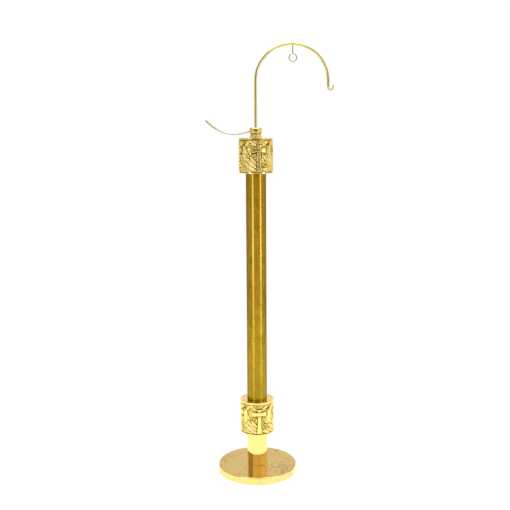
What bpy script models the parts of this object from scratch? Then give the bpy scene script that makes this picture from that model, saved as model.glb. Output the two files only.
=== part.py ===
"""Floor-standing thurible stand: weighted disc base, neck, two cast relief collars, tubular column and a turning
shepherd's-crook hook with a swivelling loop hook, plus a turning side arm for the incense boat.

Frame: metres, +Z up, origin on the floor on the column's axis. The crook lies in the XZ plane and arches towards +X;
the side arm points towards -X. The front of the stand faces -Y.
"""
import math

import bmesh
import bpy
from mathutils import Vector

MM = 0.001

# ---------------------------------------------------------------- driving dimensions, in millimetres
GAP = 0.3                      # gap between pieces that rest on or in each other
BASE_R = 120.0                 # disc base, radius
BASE_TOP = 23.0                # top of the disc above the floor
BASE_WALL = 3.0                # shell thickness
RIM_FOOT = 1.0                 # lower edge of the rim above the floor
FELT_R = 115.5
FELT_T = 1.9
NECK_R = 31.0
NECK_WALL = 2.2
NECK_TOP = 127.2
COLLAR_R = 51.6                # highest points of the relief
COLLAR_FIELD = 47.2            # background of the relief
COLLAR_IN = 42.0               # inside of the casting
DISC_R = 44.0                  # end discs let into the castings
DISC_T = 5.0
LOWER_Z0, LOWER_Z1 = 127.5, 229.5
COLUMN_R = 30.0
COLUMN_WALL = 1.5
UPPER_Z0, UPPER_Z1 = 919.5, 1021.5
PILOT_R = 10.0                 # pilots of the column plugs
NECK_PILOT_R = 12.0            # pilots of the neck spigots
ROD_R = 4.8                    # tie rod, M10
ROD_HOLE_R = 5.4
NUT_AF = 17.0                  # across the flats
STEM_R = 11.0                  # boss stem, inside the upper collar
STEM_Z0 = 960.0
BOSS_FOOT_R = 19.0
BOSS_WAIST_R = 16.0
CORE_R = 13.0                  # turning seat of the arm ring
RING_R = 19.3
RING_Z0, RING_Z1 = 1034.7, 1050.5
CORE_Z1 = 1047.2               # top of the ring's seat
CROOK_R = 4.0                  # crook rod
CROOK_Z0 = 988.7               # foot of the rod in its socket
ARCH_Z = 1182.6                # height of the arch's centre
ARCH_R = 105.4                 # radius of the arch's centre line
LEG_Z = 1169.0                 # end of the straight leg above the J hook
HOOK_X = 107.5                 # axis of the swivelling loop hook
HOOK_WIRE_R = 1.5
HOOK_LOOP_R = 11.0             # loop, to the wire's centre line
HOOK_LOOP_Z = 1249.5
HOOK_AXIS_Z = 1265.0
ARM_R = 2.5                    # side arm rod
ARM_Z = 1040.2                 # height at which the arm rod enters its ring
CROSS_AZ = 8.6                 # the front cross stands this many degrees towards +X
CROSSES = 4                    # crosses round each collar


# ---------------------------------------------------------------- helpers
def clear_scene():
    for obj in list(bpy.data.objects):
        bpy.data.objects.remove(obj, do_unlink=True)


def material(name, rgb, roughness, metallic):
    mat = bpy.data.materials.new(name)
    mat.use_nodes = True
    bsdf = mat.node_tree.nodes.get("Principled BSDF")
    bsdf.inputs["Base Color"].default_value = (rgb[0], rgb[1], rgb[2], 1.0)
    bsdf.inputs["Roughness"].default_value = roughness
    bsdf.inputs["Metallic"].default_value = metallic
    mat.diffuse_color = (rgb[0], rgb[1], rgb[2], 1.0)
    return mat


def finish_mesh(name, bm, mat, origin, parent, smooth=35.0):
    """Turn a bmesh given in millimetres of the object's frame into an object with its origin at `origin`."""
    bmesh.ops.remove_doubles(bm, verts=bm.verts, dist=1e-5)
    bmesh.ops.recalc_face_normals(bm, faces=bm.faces)
    shift = Vector(origin)
    for v in bm.verts:
        v.co = (v.co - shift) * MM
    mesh = bpy.data.meshes.new(name)
    bm.to_mesh(mesh)
    bm.free()
    mesh.shade_smooth()
    mesh.set_sharp_from_angle(angle=math.radians(smooth))
    mesh.materials.append(mat)
    obj = bpy.data.objects.new(name, mesh)
    bpy.context.scene.collection.objects.link(obj)
    place(obj, origin, parent)
    return obj


def place(obj, origin, parent):
    at = Vector(origin) * MM
    if parent is not None:
        obj.parent = parent
        at = at - Vector(parent["at_mm"]) * MM
    obj.location = at


def pivot(name, origin, parent=None):
    """An empty on a joint's axis."""
    obj = bpy.data.objects.new(name, None)
    obj.empty_display_size = 0.03
    bpy.context.scene.collection.objects.link(obj)
    obj["at_mm"] = tuple(origin)
    place(obj, origin, parent)
    return obj


def turn(name, profile, mat, segs, origin=(0.0, 0.0, 0.0), parent=None, smooth=35.0):
    """Turn a closed profile of (radius, height) points round the Z axis; a radius of 0 closes on the axis."""
    bm = bmesh.new()
    rings = []
    for r, z in profile:
        if r < 1e-6:
            rings.append([bm.verts.new((0.0, 0.0, z))])
        else:
            rings.append([bm.verts.new((r * math.cos(2 * math.pi * k / segs), r * math.sin(2 * math.pi * k / segs), z))
                          for k in range(segs)])
    n = len(rings)
    for i in range(n):
        a, b = rings[i], rings[(i + 1) % n]
        if len(a) == 1 and len(b) == 1:
            continue
        for k in range(segs):
            j = (k + 1) % segs
            if len(a) == 1:
                bm.faces.new((a[0], b[k], b[j]))
            elif len(b) == 1:
                bm.faces.new((a[k], a[j], b[0]))
            else:
                bm.faces.new((a[k], a[j], b[j], b[k]))
    return finish_mesh(name, bm, mat, origin, parent, smooth)


def fillet(cx, cz, r, a0, a1, steps):
    """Points on a rounded corner, centre (cx, cz), from angle a0 to a1 in degrees."""
    return [(cx + r * math.cos(math.radians(a0 + (a1 - a0) * i / steps)),
             cz + r * math.sin(math.radians(a0 + (a1 - a0) * i / steps))) for i in range(steps + 1)]


def smooth_path(ctrl, per_span):
    """A Catmull-Rom curve through the control points (x, z, radius)."""
    pts = []
    n = len(ctrl)
    for i in range(n - 1):
        p0 = ctrl[max(i - 1, 0)]
        p1, p2 = ctrl[i], ctrl[i + 1]
        p3 = ctrl[min(i + 2, n - 1)]
        for s in range(per_span):
            t = s / per_span
            pts.append(tuple(0.5 * ((2 * b) + (c - a) * t + (2 * a - 5 * b + 4 * c - d) * t * t
                                    + (3 * b - a - 3 * c + d) * t ** 3) for a, b, c, d in zip(p0, p1, p2, p3)))
    pts.append(tuple(ctrl[-1]))
    return pts


def rod(name, path, mat, origin, parent, resolution=4):
    """A round rod along (x, z, radius) points in the XZ plane, as a bevelled poly curve with filled ends."""
    curve = bpy.data.curves.new(name, "CURVE")
    curve.dimensions = "3D"
    curve.bevel_mode = "ROUND"
    curve.bevel_depth = MM
    curve.bevel_resolution = resolution
    curve.use_fill_caps = True
    spline = curve.splines.new("POLY")
    spline.points.add(len(path) - 1)
    for p, (x, z, r) in zip(spline.points, path):
        p.co = ((x - origin[0]) * MM, -origin[1] * MM, (z - origin[2]) * MM, 1.0)
        p.radius = r
    spline.use_smooth = True
    curve.materials.append(mat)
    obj = bpy.data.objects.new(name, curve)
    bpy.context.scene.collection.objects.link(obj)
    place(obj, origin, parent)
    return obj


def as_mesh(obj):
    """Replace a curve object with a mesh object of the same name, so that it can be drilled."""
    bpy.context.view_layer.update()
    mesh = bpy.data.meshes.new_from_object(obj.evaluated_get(bpy.context.evaluated_depsgraph_get()))
    bm = bmesh.new()
    bm.from_mesh(mesh)
    bmesh.ops.remove_doubles(bm, verts=bm.verts, dist=1e-6)
    bmesh.ops.recalc_face_normals(bm, faces=bm.faces)
    bm.to_mesh(mesh)
    bm.free()
    mesh.shade_smooth()
    mesh.set_sharp_from_angle(angle=math.radians(45.0))
    name, parent, location = obj.name, obj.parent, obj.location.copy()
    bpy.data.objects.remove(obj, do_unlink=True)
    new = bpy.data.objects.new(name, mesh)
    bpy.context.scene.collection.objects.link(new)
    new.parent = parent
    new.location = location
    return new


def drill(obj, name, radius, z0, z1, centre, direction, segs=16):
    """Cut a round hole in obj: centre in millimetres, along "Z" or "X", from z0 to z1 along that direction."""
    bm = bmesh.new()
    bmesh.ops.create_cone(bm, cap_ends=True, segments=segs, radius1=radius * MM, radius2=radius * MM,
                          depth=(z1 - z0) * MM)
    mid = 0.5 * (z0 + z1)
    mesh = bpy.data.meshes.new(name)
    bm.to_mesh(mesh)
    bm.free()
    cutter = bpy.data.objects.new(name, mesh)
    bpy.context.scene.collection.objects.link(cutter)
    if direction == "Z":
        cutter.location = Vector((centre[0], centre[1], mid)) * MM
    else:
        cutter.rotation_euler = (0.0, math.radians(90.0), 0.0)
        cutter.location = Vector((mid, centre[1], centre[2])) * MM
    cutter.hide_render = True
    cutter.display_type = "WIRE"
    mod = obj.modifiers.new(name, "BOOLEAN")
    mod.operation = "DIFFERENCE"
    mod.solver = "EXACT"
    mod.object = cutter
    return cutter


def hex_nut(name, z0, z1, mat, hole_r, af=NUT_AF, segs=12):
    """A hexagon nut: an outline of points on the six flats, round a round hole, with chamfered corners."""
    bm = bmesh.new()
    flat = af / 2.0
    loops = []
    ch = 1.0
    for r_kind, z in (("in", z0), ("cham", z0), ("out", z0 + ch), ("out", z1 - ch), ("cham", z1), ("in", z1)):
        ring = []
        for k in range(segs):
            a = 2 * math.pi * k / segs
            hexr = flat / math.cos((a + math.pi / 6) % (math.pi / 3) - math.pi / 6)
            r = hole_r if r_kind == "in" else hexr if r_kind == "out" else flat * 0.985
            ring.append(bm.verts.new((r * math.cos(a), r * math.sin(a), z)))
        loops.append(ring)
    for i in range(len(loops)):
        a, b = loops[i], loops[(i + 1) % len(loops)]
        for k in range(segs):
            j = (k + 1) % segs
            bm.faces.new((a[k], a[j], b[j], b[k]))
    return finish_mesh(name, bm, mat, (0.0, 0.0, 0.0), None, smooth=20.0)


def split_ring(name, r0, r1, z0, z1, mat, gap_deg, segs=20):
    """A spring washer: a flat ring with a slit, its two ends one above the other by a little."""
    bm = bmesh.new()
    sections = []
    lift = 0.5
    for k in range(segs + 1):
        t = k / segs
        a = math.radians(gap_deg / 2 + (360.0 - gap_deg) * t)
        dz = lift * t
        sections.append([bm.verts.new((r * math.cos(a), r * math.sin(a), z + dz))
                         for r, z in ((r0, z0), (r1, z0), (r1, z1 - lift), (r0, z1 - lift))])
    for s, t in zip(sections, sections[1:]):
        for i in range(4):
            j = (i + 1) % 4
            bm.faces.new((s[i], s[j], t[j], t[i]))
    bm.faces.new(sections[0])
    bm.faces.new(sections[-1])
    return finish_mesh(name, bm, mat, (0.0, 0.0, 0.0), None, smooth=30.0)


# ---------------------------------------------------------------- relief of the collars
def smoothstep(e0, e1, x):
    t = max(0.0, min(1.0, (x - e0) / (e1 - e0)))
    return t * t * (3.0 - 2.0 * t)


def leaf(u, w, cu, cw, angle, length, width):
    """Height 0..1 of a pointed leaf centred on (cu, cw), lying at `angle` degrees."""
    a = math.radians(angle)
    du, dw = u - cu, w - cw
    s = (du * math.cos(a) + dw * math.sin(a)) / (length / 2)
    t = (-du * math.sin(a) + dw * math.cos(a)) / (width / 2)
    if abs(s) >= 1.0:
        return 0.0
    edge = (1.0 - s * s) ** 0.8
    return max(0.0, 1.0 - (t / max(edge, 1e-3)) ** 2) ** 0.5 if abs(t) < edge else 0.0


def cross_height(u, w):
    """Height 0..1 of a Latin cross; u is the distance along the surface, w the height above the collar's middle."""
    bar = smoothstep(23.5, 20.5, abs(u)) * smoothstep(10.0, 7.2, abs(w - 29.0))
    half = 5.2 + 4.2 * max(0.0, (-w - 10.0) / 38.0) ** 1.4
    shaft = smoothstep(half + 2.0, half, abs(u)) * smoothstep(47.0, 44.0, abs(w + 2.0))
    return max(bar, shaft)


def relief(theta, w, half_h):
    """Radius of the casting's outside at angle theta (radians) and height w above its middle."""
    pitch = 2 * math.pi / CROSSES
    front = -math.pi / 2 + math.radians(CROSS_AZ)
    local = (theta - front + pitch / 2) % pitch - pitch / 2
    u = local * COLLAR_R
    h = cross_height(u, w)
    side = abs(u)
    for cu, cw, ang, ln, wd in ((24.0, -20.0, -48.0, 44.0, 11.0), (33.0, -32.0, -48.0, 34.0, 10.0),
                                (38.0, 10.0, 80.0, 52.0, 13.0), (20.0, 8.0, -40.0, 26.0, 9.0)):
        sign = 1.0 if u < 0 else -1.0
        h = max(h, 0.75 * leaf(side, w, cu, cw, ang * -1.0 if sign > 0 else ang * -1.0, ln, wd))
    edge = smoothstep(half_h - 8.0, half_h - 5.0, abs(w))
    h = max(h, edge)
    return COLLAR_FIELD + (COLLAR_R - COLLAR_FIELD) * h


def collar(name, z0, z1, mat, segs=56, rows=9):
    """A cast ring with a relief outside, rounded edges and a rebate at each end for its disc."""
    bm = bmesh.new()
    mid, half = 0.5 * (z0 + z1), 0.5 * (z1 - z0)
    rings = []

    def ring(radius, z):
        rings.append([bm.verts.new((radius(k) * math.cos(2 * math.pi * k / segs),
                                    radius(k) * math.sin(2 * math.pi * k / segs), z)) for k in range(segs)])

    ring(lambda k: DISC_R + GAP, z0)
    ring(lambda k: COLLAR_R - 1.2, z0)
    for i in range(rows):
        z = z0 + 1.2 + (z1 - z0 - 2.4) * i / (rows - 1)
        ring(lambda k, z=z: relief(2 * math.pi * k / segs, z - mid, half), z)
    ring(lambda k: COLLAR_R - 1.2, z1)
    ring(lambda k: DISC_R + GAP, z1)
    ring(lambda k: DISC_R + GAP, z1 - DISC_T - GAP)
    ring(lambda k: COLLAR_IN, z1 - DISC_T - GAP)
    ring(lambda k: COLLAR_IN, z0 + DISC_T + GAP)
    ring(lambda k: DISC_R + GAP, z0 + DISC_T + GAP)
    for i in range(len(rings)):
        a, b = rings[i], rings[(i + 1) % len(rings)]
        for k in range(segs):
            j = (k + 1) % segs
            bm.faces.new((a[k], a[j], b[j], b[k]))
    return finish_mesh(name, bm, mat, (0.0, 0.0, 0.0), None, smooth=50.0)


def flat_ring(name, r0, r1, z0, z1, mat, segs, chamfer=0.4):
    return turn(name, [(r0, z0), (r1 - chamfer, z0), (r1, z0 + chamfer), (r1, z1 - chamfer), (r1 - chamfer, z1),
                       (r0, z1)], mat, segs)


# ---------------------------------------------------------------- the stand
def build():
    clear_scene()
    gold = material("gold_plated_brass", (0.96, 0.76, 0.28), 0.08, 1.0)
    cast_gold = material("gold_plated_casting", (0.97, 0.80, 0.33), 0.16, 1.0)
    column_brass = material("unlacquered_brass", (0.46, 0.33, 0.08), 0.30, 1.0)
    rod_brass = material("rod_brass", (0.70, 0.58, 0.24), 0.14, 1.0)
    turned = material("turned_brass", (0.72, 0.56, 0.26), 0.30, 1.0)
    steel = material("zinc_steel", (0.60, 0.61, 0.62), 0.38, 1.0)
    iron = material("black_iron", (0.07, 0.07, 0.075), 0.62, 0.6)
    felt = material("green_felt", (0.03, 0.10, 0.06), 0.95, 0.0)
    fibre = material("fibre", (0.32, 0.08, 0.05), 0.70, 0.0)
    nylon = material("nylon", (0.82, 0.80, 0.74), 0.45, 0.0)

    # base: felt, ballast, spun shell
    turn("base_felt", [(0.0, 0.0), (FELT_R, 0.0), (FELT_R, FELT_T), (0.0, FELT_T)], felt, 48)
    ballast_z0, ballast_z1 = FELT_T + GAP, BASE_TOP - BASE_WALL - 0.2 - GAP
    in_r = BASE_R - BASE_WALL
    well_r, well_z = 16.5, 15.6
    turn("ballast_plate", [(well_r, ballast_z0), (in_r - GAP - 1.0, ballast_z0), (in_r - GAP, ballast_z0 + 1.0),
                           (in_r - GAP, ballast_z1 - 1.0), (in_r - GAP - 1.0, ballast_z1), (ROD_HOLE_R, ballast_z1),
                           (ROD_HOLE_R, well_z), (well_r, well_z)], iron, 40)
    shell = [(NECK_PILOT_R + GAP, BASE_TOP)]
    shell += fillet(BASE_R - 3.2, BASE_TOP - 3.2, 3.2, 90.0, 0.0, 2)
    shell += fillet(BASE_R - 2.0, RIM_FOOT + 2.0, 2.0, 0.0, -90.0, 1)
    shell += [(in_r, RIM_FOOT), (in_r, BASE_TOP - BASE_WALL - 0.2), (NECK_PILOT_R + GAP, BASE_TOP - BASE_WALL - 0.2)]
    turn("base_shell", shell, gold, 72)

    # clamp at the foot of the tie rod, in the ballast plate's well
    turn("bottom_washer", [(ROD_HOLE_R, well_z - GAP - 2.0), (15.0, well_z - GAP - 2.0), (15.0, well_z - GAP),
                           (ROD_HOLE_R, well_z - GAP)], steel, 20)
    split_ring("spring_washer", ROD_HOLE_R, 8.6, 10.6, well_z - 2 * GAP - 2.0, steel, 16.0)
    hex_nut("bottom_nut", 2.6, 10.3, steel, ROD_R + GAP)
    rod_top = STEM_Z0 + 23.0
    turn("tie_rod", [(0.0, 2.5), (ROD_R - 0.8, 2.5), (ROD_R, 3.3), (ROD_R, rod_top - 0.8), (ROD_R - 0.8, rod_top),
                     (0.0, rod_top)], steel, 12)

    # neck
    neck_z0 = BASE_TOP + GAP
    neck_in = NECK_R - NECK_WALL
    spig_r = neck_in - GAP
    turn("neck_tube", [(neck_in, neck_z0), (NECK_R - 0.5, neck_z0), (NECK_R, neck_z0 + 0.5), (NECK_R, NECK_TOP - 0.5),
                       (NECK_R - 0.5, NECK_TOP), (neck_in, NECK_TOP)], gold, 32)
    turn("neck_foot_spigot", [(ROD_HOLE_R, neck_z0 - 2.9), (NECK_PILOT_R, neck_z0 - 2.9), (NECK_PILOT_R, neck_z0),
                              (spig_r, neck_z0), (spig_r, neck_z0 + 7.0), (spig_r - 1.0, neck_z0 + 8.0),
                              (ROD_HOLE_R, neck_z0 + 8.0)], turned, 24)
    turn("neck_top_spigot", [(ROD_HOLE_R, NECK_TOP - 8.0), (spig_r - 1.0, NECK_TOP - 8.0), (spig_r, NECK_TOP - 7.0),
                             (spig_r, NECK_TOP), (NECK_PILOT_R, NECK_TOP), (NECK_PILOT_R, NECK_TOP + 4.0),
                             (ROD_HOLE_R, NECK_TOP + 4.0)], turned, 24)

    # lower collar: casting and its two end discs
    collar("lower_collar", LOWER_Z0, LOWER_Z1, cast_gold)
    flat_ring("lower_collar_bottom_disc", NECK_PILOT_R + GAP, DISC_R, LOWER_Z0, LOWER_Z0 + DISC_T, gold, 32)
    flat_ring("lower_collar_top_disc", PILOT_R + GAP, DISC_R, LOWER_Z1 - DISC_T, LOWER_Z1, gold, 32)

    # column
    col_z0, col_z1 = LOWER_Z1 + GAP, UPPER_Z0 - GAP
    col_in = COLUMN_R - COLUMN_WALL
    plug_r = col_in - GAP
    turn("column_tube", [(col_in, col_z0), (COLUMN_R - 0.3, col_z0), (COLUMN_R, col_z0 + 0.3), (COLUMN_R, col_z1 - 0.3),
                         (COLUMN_R - 0.3, col_z1), (col_in, col_z1)], column_brass, 32)
    turn("column_bottom_plug", [(ROD_HOLE_R, col_z0 - 4.0), (PILOT_R, col_z0 - 4.0), (PILOT_R, col_z0),
                                (plug_r, col_z0), (plug_r, col_z0 + 13.0), (plug_r - 1.0, col_z0 + 14.0),
                                (ROD_HOLE_R, col_z0 + 14.0)], turned, 24)
    turn("column_top_plug", [(ROD_HOLE_R, col_z1 - 14.0), (plug_r - 1.0, col_z1 - 14.0), (plug_r, col_z1 - 13.0),
                             (plug_r, col_z1), (PILOT_R, col_z1), (PILOT_R, col_z1 + 4.0),
                             (ROD_HOLE_R, col_z1 + 4.0)], turned, 24)

    # upper collar
    collar("upper_collar", UPPER_Z0, UPPER_Z1, cast_gold)
    flat_ring("upper_collar_bottom_disc", PILOT_R + GAP, DISC_R, UPPER_Z0, UPPER_Z0 + DISC_T, gold, 32)
    flat_ring("upper_collar_top_disc", STEM_R + GAP, DISC_R, UPPER_Z1 - DISC_T, UPPER_Z1, gold, 32)

    # boss: one turned piece, threaded on the tie rod below, with the crook's socket above
    foot_z = UPPER_Z1 + GAP
    shoulder_z = RING_Z0 - 1.3
    core_z1 = CORE_Z1
    bore_r, bore_z0 = 6.4, 988.0
    cbore_r, cbore_z = 8.0, 1041.2
    boss = [(0.0, 985.0), (ROD_R + GAP, 985.0), (ROD_R + GAP, STEM_Z0), (STEM_R - 1.0, STEM_Z0),
            (STEM_R, STEM_Z0 + 1.0), (STEM_R, foot_z), (BOSS_FOOT_R - 0.8, foot_z), (BOSS_FOOT_R, foot_z + 0.8)]
    boss += fillet(BOSS_FOOT_R - 1.6, foot_z + 2.6, 1.6, 0.0, 90.0, 2)
    boss += [(BOSS_WAIST_R + 0.6, foot_z + 6.0), (BOSS_WAIST_R, foot_z + 8.0), (BOSS_WAIST_R, shoulder_z - 2.6),
             (BOSS_WAIST_R + 0.8, shoulder_z - 0.8), (BOSS_WAIST_R + 0.8, shoulder_z), (CORE_R, shoulder_z),
             (CORE_R, core_z1 - 0.5), (CORE_R - 0.5, core_z1), (cbore_r, core_z1), (cbore_r, cbore_z),
             (bore_r, cbore_z), (bore_r, bore_z0), (0.0, bore_z0)]
    turn("top_boss", boss, gold, 28)
    turn("crook_bush", [(CROOK_R + 0.3, bore_z0 + GAP), (bore_r - GAP, bore_z0 + GAP), (bore_r - GAP, cbore_z - GAP),
                        (CROOK_R + 0.3, cbore_z - GAP)], nylon, 16)
    turn("retaining_cap", [(CROOK_R + 0.3, cbore_z + GAP), (cbore_r - GAP, cbore_z + GAP), (cbore_r - GAP, core_z1 + GAP),
                           (16.0, core_z1 + GAP), (16.0, core_z1 + 2.4), (14.6, core_z1 + 3.5), (7.5, core_z1 + 3.5),
                           (CROOK_R + 0.3, core_z1 + 2.9)], gold, 24)
    turn("friction_washer", [(CORE_R + GAP, shoulder_z + GAP), (BOSS_WAIST_R + 0.6, shoulder_z + GAP),
                             (BOSS_WAIST_R + 0.6, RING_Z0 - GAP), (CORE_R + GAP, RING_Z0 - GAP)], fibre, 20)

    # side arm: a bead ring that turns on the boss, and the rod let into it
    arm_pivot = pivot("boat_arm_axis", (0.0, 0.0, RING_Z0))
    ring_profile = [(CORE_R + GAP, RING_Z0), (RING_R - 3.0, RING_Z0)]
    ring_profile += fillet(RING_R - 4.2, RING_Z0 + 4.4, 4.2, -60.0, 0.0, 2)
    ring_profile += fillet(RING_R - 4.2, RING_Z1 - 4.4, 4.2, 0.0, 60.0, 2)
    ring_profile += [(RING_R - 3.0, RING_Z1), (16.3, RING_Z1), (16.3, core_z1), (CORE_R + GAP, core_z1)]
    ring_obj = turn("arm_ring", ring_profile, gold, 32, (0.0, 0.0, RING_Z0), arm_pivot)
    drill(ring_obj, "arm_hole_cutter", ARM_R + GAP, -26.0, -15.0, (0.0, 0.0, ARM_Z), "X", 12)
    arm = [(-15.4, ARM_Z, ARM_R), (-20.2, ARM_Z, ARM_R)]
    arm_ctrl = [(-20.2, ARM_Z, ARM_R), (-31.0, 1036.9, ARM_R), (-46.0, 1033.2, ARM_R), (-65.0, 1031.5, ARM_R),
                (-85.0, 1034.0, ARM_R), (-105.0, 1041.6, ARM_R), (-127.0, 1055.0, ARM_R), (-145.6, 1071.2, ARM_R)]
    arm += smooth_path(arm_ctrl, 4)[1:]
    tip = arm[-1]
    back = arm[-2]
    run = math.hypot(tip[0] - back[0], tip[1] - back[1])
    ux, uz = (tip[0] - back[0]) / run, (tip[1] - back[1]) / run
    arm += [(tip[0] + ux * 1.4, tip[1] + uz * 1.4, ARM_R * 0.82), (tip[0] + ux * 2.3, tip[1] + uz * 2.3, ARM_R * 0.42)]
    rod("boat_arm", arm, turned, (0.0, 0.0, RING_Z0), arm_pivot, 2)

    # crook: straight rod, half-circle arch, tapered J hook
    crook_pivot = pivot("crook_axis", (0.0, 0.0, CROOK_Z0))
    path = [(0.0, CROOK_Z0, CROOK_R - 0.8), (0.0, CROOK_Z0 + 0.8, CROOK_R), (0.0, 1060.0, CROOK_R),
            (0.0, 1120.0, CROOK_R)]
    steps = 30
    for i in range(steps + 1):
        a = math.pi - math.pi * i / steps
        path.append((ARCH_R + ARCH_R * math.cos(a), ARCH_Z + ARCH_R * math.sin(a), CROOK_R))
    leg_x = 2 * ARCH_R
    hook_ctrl = [(leg_x, ARCH_Z, CROOK_R), (leg_x, LEG_Z, CROOK_R * 0.97), (leg_x + 0.9, 1163.2, 3.5),
                 (leg_x + 3.2, 1158.8, 3.1), (leg_x + 7.0, 1157.0, 2.8), (leg_x + 10.6, 1158.9, 2.55),
                 (leg_x + 13.2, 1162.9, 2.35), (leg_x + 15.0, 1167.2, 2.15), (leg_x + 16.2, 1170.4, 2.0)]
    path += smooth_path(hook_ctrl, 3)[1:]
    path.append((leg_x + 16.5, 1171.5, 1.2))
    crook = as_mesh(rod("crook", path, rod_brass, (0.0, 0.0, CROOK_Z0), crook_pivot, 3))
    drill(crook, "hook_hole_cutter", HOOK_WIRE_R + GAP, ARCH_Z + ARCH_R - 12.0, ARCH_Z + ARCH_R + 1.6,
          (HOOK_X, 0.0, 0.0), "Z", 12)

    # loop hook: a stem that turns in the arch, and a loop left open at its upper left
    hook_pivot = pivot("hook_axis", (HOOK_X, 0.0, HOOK_AXIS_Z), crook_pivot)
    stem_top = ARCH_Z + ARCH_R + 1.2
    wire = [(HOOK_X, stem_top, HOOK_WIRE_R), (HOOK_X, 1274.9, HOOK_WIRE_R), (HOOK_X, 1266.4, HOOK_WIRE_R)]
    sweep, parts = 318.0, 26
    cx, cz = HOOK_X + 0.9, HOOK_LOOP_Z
    wire += [(HOOK_X + 0.1, 1263.5, HOOK_WIRE_R)]
    for i in range(parts + 1):
        a = math.radians(82.0 - sweep * i / parts)
        wire.append((cx + HOOK_LOOP_R * math.cos(a), cz + HOOK_LOOP_R * math.sin(a), HOOK_WIRE_R))
    wire.append((wire[-1][0] + 0.5, wire[-1][1] + 0.55, HOOK_WIRE_R * 0.6))
    rod("swivel_hook", wire, turned, (HOOK_X, 0.0, HOOK_AXIS_Z), hook_pivot, 2)


build()
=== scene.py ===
"""Looks of the thurible stand: fine turned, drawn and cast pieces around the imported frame, their materials, a plain pale
floor, a soft studio and the camera."""
import math

import bmesh
import bpy
import numpy as np
from mathutils import Matrix, Vector


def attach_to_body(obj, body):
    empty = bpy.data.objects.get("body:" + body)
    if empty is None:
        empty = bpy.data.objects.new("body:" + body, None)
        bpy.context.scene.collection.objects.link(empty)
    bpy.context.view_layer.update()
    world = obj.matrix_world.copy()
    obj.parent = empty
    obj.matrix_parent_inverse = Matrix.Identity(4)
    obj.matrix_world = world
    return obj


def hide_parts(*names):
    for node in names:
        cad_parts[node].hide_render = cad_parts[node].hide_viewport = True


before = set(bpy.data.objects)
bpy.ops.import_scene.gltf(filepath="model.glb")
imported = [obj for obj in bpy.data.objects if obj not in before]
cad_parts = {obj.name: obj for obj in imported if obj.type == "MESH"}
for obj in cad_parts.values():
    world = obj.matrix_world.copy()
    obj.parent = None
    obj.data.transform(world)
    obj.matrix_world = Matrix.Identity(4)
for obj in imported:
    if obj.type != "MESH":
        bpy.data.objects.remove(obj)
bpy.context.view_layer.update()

MM = 0.001

# ------------------------------------------------------------------ dimensions of the frame, in millimetres
GAP = 0.3
BASE_R, BASE_TOP, RIM_FOOT, BASE_IN = 120.0, 23.0, 1.0, 117.0
NECK_R, NECK_IN, NECK_Z0, NECK_Z1 = 31.0, 28.8, 23.3, 127.2
COLLAR_R, COLLAR_FIELD, COLLAR_IN, DISC_R, DISC_T = 51.6, 47.0, 42.0, 44.0, 5.0
LOWER_Z0, LOWER_Z1 = 127.5, 229.5
UPPER_Z0, UPPER_Z1 = 919.5, 1021.5
COL_R, COL_IN, COL_Z0, COL_Z1 = 30.0, 28.5, 229.8, 919.2
CROOK_R, CROOK_Z0 = 4.0, 988.7
ARCH_Z, ARCH_R, LEG_Z = 1182.6, 105.4, 1169.0
HOOK_X, HOOK_WIRE, HOOK_LOOP_R, HOOK_LOOP_Z = 107.5, 1.5, 11.0, 1249.5
ARM_R, ARM_Z = 2.5, 1040.2
RING_R, RING_Z0, RING_Z1, CORE_R, CORE_Z1 = 19.3, 1034.7, 1050.5, 13.0, 1047.2
LOWER_AZ, UPPER_AZ = 7.6, 11.0      # the front crosses stand this many degrees towards +X


# ------------------------------------------------------------------ mesh helpers
def new_object(name, verts_mm, faces, sharp=32.0):
    mesh = bpy.data.meshes.new(name)
    verts = np.asarray(verts_mm, float) * MM
    mesh.from_pydata(verts.tolist(), [], faces)
    mesh.validate()
    bm = bmesh.new()
    bm.from_mesh(mesh)
    bmesh.ops.recalc_face_normals(bm, faces=bm.faces)
    bm.to_mesh(mesh)
    bm.free()
    mesh.shade_smooth()
    if sharp:
        mesh.set_sharp_from_angle(angle=math.radians(sharp))
    obj = bpy.data.objects.new(name, mesh)
    bpy.context.scene.collection.objects.link(obj)
    return obj


def attach(obj, body, nodes, mat):
    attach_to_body(obj, body)
    if nodes:
        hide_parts(*nodes)
    obj.data.materials.clear()
    obj.data.materials.append(mat)
    return obj


def fillet(cx, cz, r, a0, a1, steps=8):
    return [(cx + r * math.cos(math.radians(a0 + (a1 - a0) * i / steps)),
             cz + r * math.sin(math.radians(a0 + (a1 - a0) * i / steps))) for i in range(steps + 1)]


def rounded(profile, radii, steps=6):
    """Round the corners of a closed (r, z) outline; radii gives each corner's radius, 0 to leave it."""
    out = []
    n = len(profile)
    for i, (p, r) in enumerate(zip(profile, radii)):
        if r <= 0:
            out.append(tuple(p))
            continue
        a = np.array(profile[i - 1], float)
        b = np.array(p, float)
        c = np.array(profile[(i + 1) % n], float)
        u, v = (a - b) / np.linalg.norm(a - b), (c - b) / np.linalg.norm(c - b)
        half = 0.5 * math.acos(max(-1.0, min(1.0, float(u @ v))))
        cut = r / math.tan(half)
        cut = min(cut, 0.49 * np.linalg.norm(a - b), 0.49 * np.linalg.norm(c - b))
        rr = cut * math.tan(half)
        mid = (u + v) / np.linalg.norm(u + v)
        centre = b + mid * rr / math.sin(half)
        s, e = b + u * cut - centre, b + v * cut - centre
        a0, a1 = math.atan2(s[1], s[0]), math.atan2(e[1], e[0])
        d = (a1 - a0 + math.pi) % (2 * math.pi) - math.pi
        for k in range(steps + 1):
            t = a0 + d * k / steps
            out.append((centre[0] + rr * math.cos(t), centre[1] + rr * math.sin(t)))
    return out


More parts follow.
